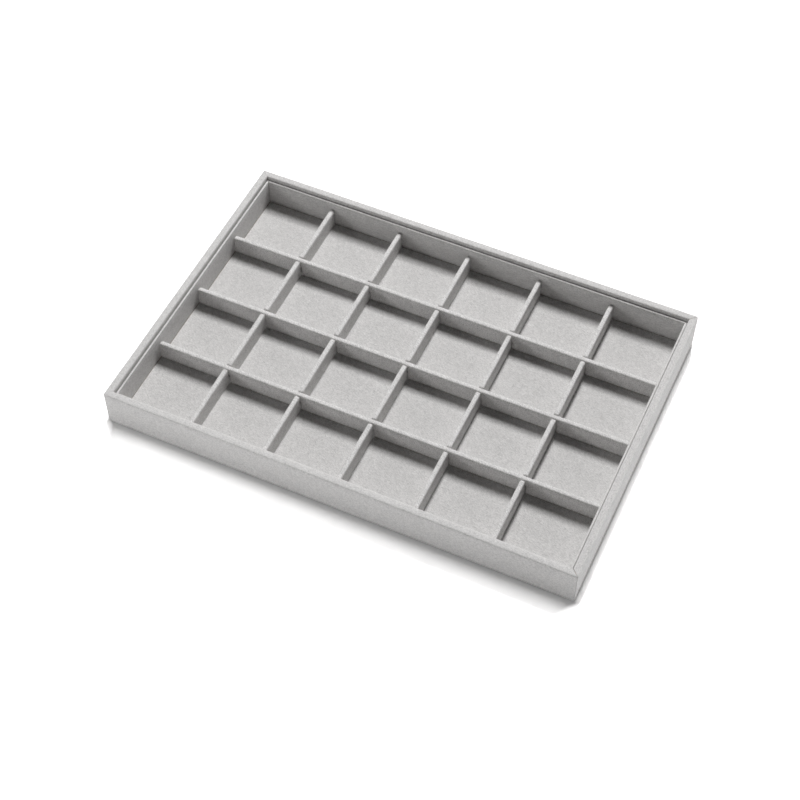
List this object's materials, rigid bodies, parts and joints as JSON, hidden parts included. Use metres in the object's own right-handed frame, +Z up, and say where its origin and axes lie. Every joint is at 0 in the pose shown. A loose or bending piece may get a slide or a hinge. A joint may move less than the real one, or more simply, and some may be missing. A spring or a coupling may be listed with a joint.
{
  "type": "jewelry tray",
  "caption": "Shallow rectangular jewelry tray covered in grey suede, with a lift-out insert that interlocking dividers part into near-square cells.",
  "frame": {"origin": "centre of the tray's underside, on the surface that it stands on", "axes": "+X along the long side, towards the right; +Y from the front to the back; +Z up"},
  "size_m": [0.35, 0.24, 0.03],
  "materials": {
    "suede": "matt, fine nap",
    "lining": "matt",
    "underside_paper": "matt",
    "board": "raw",
    "card": "raw"
  },
  "bodies": {
    "tray": {"base_board": "board", "tray_floor_lining": "lining", "underside_cover": "underside_paper", "left_rail": "board", "front_rail": "board", "right_rail": "board", "back_rail": "board", "left_rail_wrap": "suede", "front_rail_wrap": "suede", "right_rail_wrap": "suede", "back_rail_wrap": "suede"},
    "insert": {"insert_board": "card", "insert_floor_cover": "suede", "left_liner_board": "card", "front_liner_board": "card", "right_liner_board": "card", "back_liner_board": "card", "left_liner_cover": "suede", "front_liner_cover": "suede", "right_liner_cover": "suede", "back_liner_cover": "suede"},
    "cross_dividers": {"cross_divider_1_core": "card", "cross_divider_2_core": "card", "cross_divider_3_core": "card", "cross_divider_4_core": "card", "cross_divider_5_core": "card", "cross_divider_1_cover": "suede", "cross_divider_2_cover": "suede", "cross_divider_3_cover": "suede", "cross_divider_4_cover": "suede", "cross_divider_5_cover": "suede"},
    "long_divider_1": {"long_divider_1_core": "card", "long_divider_1_cover": "suede"},
    "long_divider_2": {"long_divider_2_core": "card", "long_divider_2_cover": "suede"},
    "long_divider_3": {"long_divider_3_core": "card", "long_divider_3_cover": "suede"}
  },
  "joints": [
    {"name": "insert_lift", "type": "slide", "parent": "tray", "child": "insert", "axis": [0, 0, 1], "range_m": [0, 0.04]},
    {"name": "grid_lift", "type": "slide", "parent": "insert", "child": "cross_dividers", "axis": [0, 0, 1], "range_m": [0, 0.03]},
    {"name": "long_divider_1_lift", "type": "slide", "parent": "cross_dividers", "child": "long_divider_1", "axis": [0, 0, 1], "range_m": [0, 0.03]},
    {"name": "long_divider_2_lift", "type": "slide", "parent": "cross_dividers", "child": "long_divider_2", "axis": [0, 0, 1], "range_m": [0, 0.03]},
    {"name": "long_divider_3_lift", "type": "slide", "parent": "cross_dividers", "child": "long_divider_3", "axis": [0, 0, 1], "range_m": [0, 0.03]}
  ]
}
